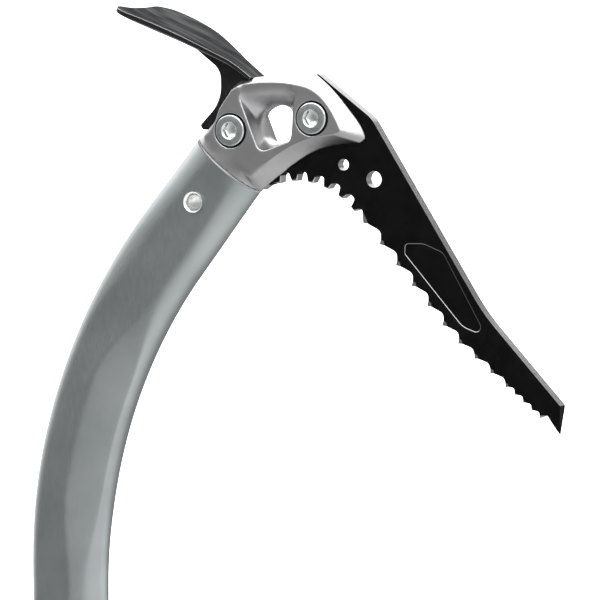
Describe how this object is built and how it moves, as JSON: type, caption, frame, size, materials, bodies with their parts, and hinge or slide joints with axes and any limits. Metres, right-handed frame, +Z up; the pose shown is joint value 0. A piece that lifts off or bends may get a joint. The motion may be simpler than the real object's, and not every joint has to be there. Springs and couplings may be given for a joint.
{
  "type": "technical ice axe",
  "caption": "Technical ice axe: curved oval shaft, cast head with eye, toothed pick, wide adze, rubber grip, sliding finger rest, folding hand rest and steel spike.",
  "frame": {"origin": "centre of the tether eye in the spike", "axes": "+Z up along the straight middle of the shaft, +X towards the pick, +Y across the plate of the pick"},
  "size_m": [0.2595, 0.0512, 0.5309],
  "materials": {
    "anodised_tube": "satin grey anodised",
    "cast_head": "satin shot-blasted",
    "gasket": "matte",
    "rivet": "satin",
    "black_steel": "black oxide, satin",
    "adze_steel": "black satin coating",
    "bolt": "zinc plated",
    "foam": "closed-cell foam",
    "grip_rubber": "matte",
    "spike_steel": "satin",
    "fitting": "matte",
    "moulding": "matte, lightly textured",
    "lever": "satin grey"
  },
  "bodies": {
    "axe": {"shaft_tube": "anodised_tube", "head": "cast_head", "head_gasket": "gasket", "head_rivet": "rivet", "pick": "black_steel", "adze": "adze_steel", "pick_bolt": "bolt", "pick_nut": "bolt", "adze_bolt": "bolt", "adze_nut": "bolt", "shaft_plug": "foam", "grip_sleeve": "grip_rubber", "spike": "spike_steel", "spike_socket": "fitting", "spike_rivets": "rivet", "hand_rest_bracket": "moulding", "hand_rest_screw": "bolt", "hand_rest_nut": "bolt", "hand_rest_pin": "rivet"},
    "trigger_rest": {"trigger_collar": "moulding", "trigger_liner": "grip_rubber", "trigger_lever_pin": "rivet"},
    "cam_lever": {"trigger_lever": "lever"},
    "folding_rest": {"hand_rest": "moulding", "hand_rest_pad": "grip_rubber"}
  },
  "joints": [
    {"name": "trigger_slide", "type": "slide", "parent": "axe", "child": "trigger_rest", "axis": [0, 0, 1], "range_m": [-0.008, 0.06]},
    {"name": "lever_turn", "type": "hinge", "parent": "trigger_rest", "child": "cam_lever", "pos_m": [-0.04922, 0, 0.17], "axis": [0, 1, 0], "range_deg": [0, 100]},
    {"name": "rest_fold", "type": "hinge", "parent": "axe", "child": "folding_rest", "pos_m": [0.02196, 0, 0.03383], "axis": [0, 1, 0], "range_deg": [0, 85]}
  ]
}
